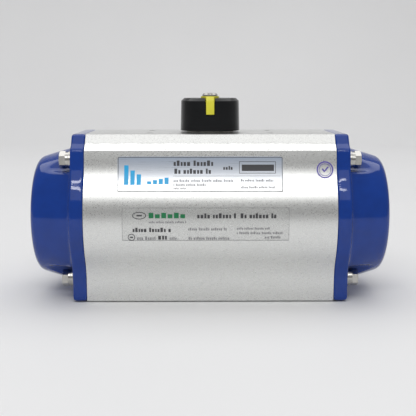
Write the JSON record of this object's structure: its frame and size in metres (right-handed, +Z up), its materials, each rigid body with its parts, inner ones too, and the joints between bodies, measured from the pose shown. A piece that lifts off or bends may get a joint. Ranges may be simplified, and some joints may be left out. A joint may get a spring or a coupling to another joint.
{
  "type": "rotary pneumatic actuator",
  "caption": "Quarter-turn rack-and-pinion pneumatic actuator with spring return, domed end caps and a slotted position indicator turning with its drive shaft.",
  "frame": {"origin": "centre of the valve mounting face, on the pinion axis", "axes": "+Z up along the pinion to the indicator, +X along the cylinder, -Y to the labelled front, +Y to the air ports"},
  "size_m": [0.2394, 0.1156, 0.1358],
  "materials": {
    "anodised_aluminium": "satin clear anodised, fine lengthwise grain",
    "blue_paint": "gloss powder coat",
    "black_rubber": "matt",
    "stainless_steel": "bright turned",
    "plated_steel": "nickel plated",
    "cast_aluminium": "die cast, machined on the sliding faces",
    "spring_steel": "coated wire",
    "white_polymer": "natural acetal",
    "black_plastic": "satin moulded",
    "yellow_plastic": "satin moulded",
    "label_foil": "brushed foil with printed bars",
    "label_film": "thin translucent film"
  },
  "bodies": {
    "housing": {"body": "anodised_aluminium", "left_end_cap": "blue_paint", "right_end_cap": "blue_paint", "left_cap_gasket": "black_rubber", "right_cap_gasket": "black_rubber", "left_cap_bolts": "stainless_steel", "right_cap_bolts": "stainless_steel", "left_spring_washers": "stainless_steel", "right_spring_washers": "stainless_steel", "left_flat_washers": "stainless_steel", "right_flat_washers": "stainless_steel", "pinion_thrust_disc": "white_polymer", "pinion_top_bearing": "white_polymer", "pinion_bottom_bearing": "white_polymer", "left_springs": "spring_steel", "right_springs": "spring_steel", "left_outer_spring_seats": "white_polymer", "right_outer_spring_seats": "white_polymer", "travel_stop_screws": "stainless_steel", "stop_lock_nuts": "stainless_steel", "stop_seal_washers": "black_rubber", "nameplate": "label_foil", "data_label": "label_film", "inspection_sticker": "label_film"},
    "drive_shaft": {"pinion": "plated_steel", "stop_cam": "plated_steel", "pinion_circlip": "plated_steel", "pinion_top_washer": "stainless_steel", "pinion_top_seal": "black_rubber", "pinion_bottom_seal": "black_rubber", "indicator_cap": "black_plastic", "indicator_insert": "yellow_plastic", "indicator_screw": "stainless_steel"},
    "left_piston_set": {"left_piston": "cast_aluminium", "left_piston_seal": "black_rubber", "left_guide_ring": "white_polymer", "left_back_pad": "white_polymer", "left_inner_spring_seats": "white_polymer"},
    "right_piston_set": {"right_piston": "cast_aluminium", "right_piston_seal": "black_rubber", "right_guide_ring": "white_polymer", "right_back_pad": "white_polymer", "right_inner_spring_seats": "white_polymer"}
  },
  "joints": [
    {"name": "shaft_turn", "type": "hinge", "parent": "housing", "child": "drive_shaft", "pos_m": [0, 0, 0.054], "axis": [0, 0, 1], "range_deg": [0, 90], "stiffness_Nm_per_rad": 19, "springref_deg": -65.89},
    {"name": "left_piston_slide", "type": "slide", "parent": "housing", "child": "left_piston_set", "axis": [-1, 0, 0], "range_m": [0, 0.0236], "deforming": ["left_springs"]},
    {"name": "right_piston_slide", "type": "slide", "parent": "housing", "child": "right_piston_set", "axis": [1, 0, 0], "range_m": [0, 0.0236], "deforming": ["right_springs"]}
  ],
  "couplings": [
    {"joint": "left_piston_slide", "follows": "shaft_turn", "m_per_rad": 0.015},
    {"joint": "right_piston_slide", "follows": "shaft_turn", "m_per_rad": 0.015}
  ]
}
